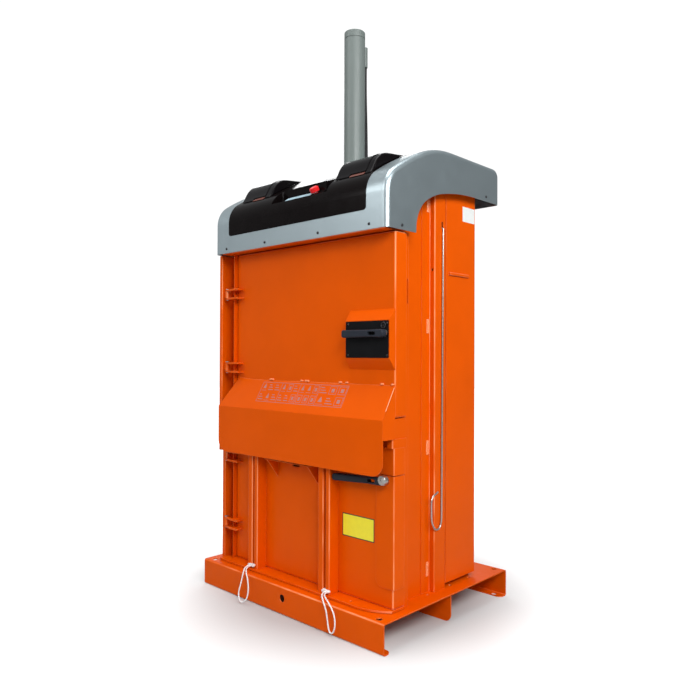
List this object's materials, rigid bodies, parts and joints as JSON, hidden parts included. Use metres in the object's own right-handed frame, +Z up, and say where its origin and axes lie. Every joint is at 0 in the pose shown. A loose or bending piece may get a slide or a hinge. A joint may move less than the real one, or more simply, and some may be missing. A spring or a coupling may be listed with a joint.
{
  "type": "vertical baler",
  "caption": "Upright recycling baler: orange folded-sheet body on a fork-pocket base, two hinged doors with levers, silver hood with black console, hydraulic ram above",
  "frame": {"origin": "bottom centre of the base, on the floor", "axes": "+Z up, +X to the latch side (the right of someone facing the doors), +Y to the back"},
  "size_m": [0.991, 0.7901, 2.29],
  "materials": {
    "body_orange": "orange powder coat, satin, fine orange peel",
    "door_orange": "orange powder coat, satin, fine orange peel",
    "hood_silver": "silver metallic coat, satin",
    "console_black": "black moulded plastic, half gloss",
    "lid_black": "black moulded plastic, half gloss",
    "ram_grey": "grey paint, satin",
    "steel": "zinc plated steel",
    "chrome": "polished rod",
    "lever_black": "dark grey moulded grip",
    "plate_black": "black plate",
    "stop_red": "red button",
    "strap_roll": "wound strap",
    "strap_white": "woven strap",
    "hose_black": "rubber hose",
    "machine_grey": "grey paint"
  },
  "bodies": {
    "frame": {"base_frame": "body_orange", "base_middle_foot": "body_orange", "chamber_floor": "body_orange", "chamber_back_wall": "body_orange", "chamber_wall_left": "body_orange", "chamber_wall_right": "body_orange", "side_skin_left": "body_orange", "side_skin_right": "body_orange", "rear_post_left": "body_orange", "rear_post_right": "body_orange", "rear_panel_left": "body_orange", "rear_panel_right": "body_orange", "hinge_post_lower": "body_orange", "hinge_post_upper": "body_orange", "hinge_lugs": "body_orange", "hinge_pins": "steel", "middle_rail": "body_orange", "latch_clip": "body_orange", "front_header": "body_orange", "top_crosshead": "body_orange", "cylinder_gland": "ram_grey", "cylinder_tube": "ram_grey", "cylinder_cap": "ram_grey", "hydraulic_hose": "hose_black", "hood": "hood_silver", "console": "console_black", "power_pack_shelf": "machine_grey", "oil_tank": "machine_grey", "pump_motor": "machine_grey", "valve_block": "machine_grey", "electric_box": "machine_grey", "rod_tool": "steel", "strap_spindles": "steel"},
    "press": {"press_plate": "body_orange", "piston_rod": "chrome", "piston": "steel"},
    "upper_door": {"upper_door_panel": "door_orange", "upper_door_liner": "door_orange", "loading_flap": "door_orange", "upper_handle_housing": "door_orange", "upper_handle_plate": "plate_black", "upper_hinge_arms": "door_orange"},
    "upper_handle": {"upper_lever": "lever_black", "upper_latch_spindle": "steel"},
    "lower_door": {"lower_door_panel": "door_orange", "lower_door_liner": "door_orange", "strap_channels": "door_orange", "lower_door_foot": "door_orange", "latch_side_strip": "door_orange", "lower_hinge_arms": "door_orange", "pull_loop_left": "strap_white", "pull_loop_right": "strap_white", "pull_knots": "strap_white"},
    "lower_handle": {"lower_lever": "lever_black", "lower_latch_spindle": "steel"},
    "left_lid": {"strap_lid_left": "lid_black"},
    "right_lid": {"strap_lid_right": "lid_black"},
    "left_roll": {"strap_roll_left": "strap_roll"},
    "right_roll": {"strap_roll_right": "strap_roll"},
    "stop_button": {"emergency_stop": "stop_red"}
  },
  "joints": [
    {"name": "upper_door_hinge", "type": "hinge", "parent": "frame", "child": "upper_door", "pos_m": [-0.446, -0.3, 1.06], "axis": [0, 0, -1], "range_deg": [0, 100]},
    {"name": "lower_door_hinge", "type": "hinge", "parent": "frame", "child": "lower_door", "pos_m": [-0.446, -0.3, 0.33], "axis": [0, 0, -1], "range_deg": [0, 100]},
    {"name": "upper_handle_turn", "type": "hinge", "parent": "upper_door", "child": "upper_handle", "pos_m": [0.446, -0.33, 1.033], "axis": [0, 1, 0], "range_deg": [0, 90]},
    {"name": "lower_handle_turn", "type": "hinge", "parent": "lower_door", "child": "lower_handle", "pos_m": [0.427, -0.31, 0.541], "axis": [0, -1, 0], "range_deg": [0, 90]},
    {"name": "press_slide", "type": "slide", "parent": "frame", "child": "press", "axis": [0, 0, -1], "range_m": [0, 0.61]},
    {"name": "left_lid_hinge", "type": "hinge", "parent": "frame", "child": "left_lid", "pos_m": [-0.2625, -0.128, 1.67975], "axis": [-1, 0, 0], "range_deg": [0, 60]},
    {"name": "right_lid_hinge", "type": "hinge", "parent": "frame", "child": "right_lid", "pos_m": [0.2795, -0.128, 1.67975], "axis": [-1, 0, 0], "range_deg": [0, 60]},
    {"name": "left_roll_spin", "type": "hinge", "parent": "frame", "child": "left_roll", "pos_m": [-0.247, -0.214, 1.59692], "axis": [1, 0, 0], "continuous": true},
    {"name": "right_roll_spin", "type": "hinge", "parent": "frame", "child": "right_roll", "pos_m": [0.295, -0.214, 1.59692], "axis": [1, 0, 0], "continuous": true},
    {"name": "emergency_stop_push", "type": "slide", "parent": "frame", "child": "stop_button", "axis": [0, 0.5692, -0.8222], "range_m": [0, 0.004]}
  ]
}
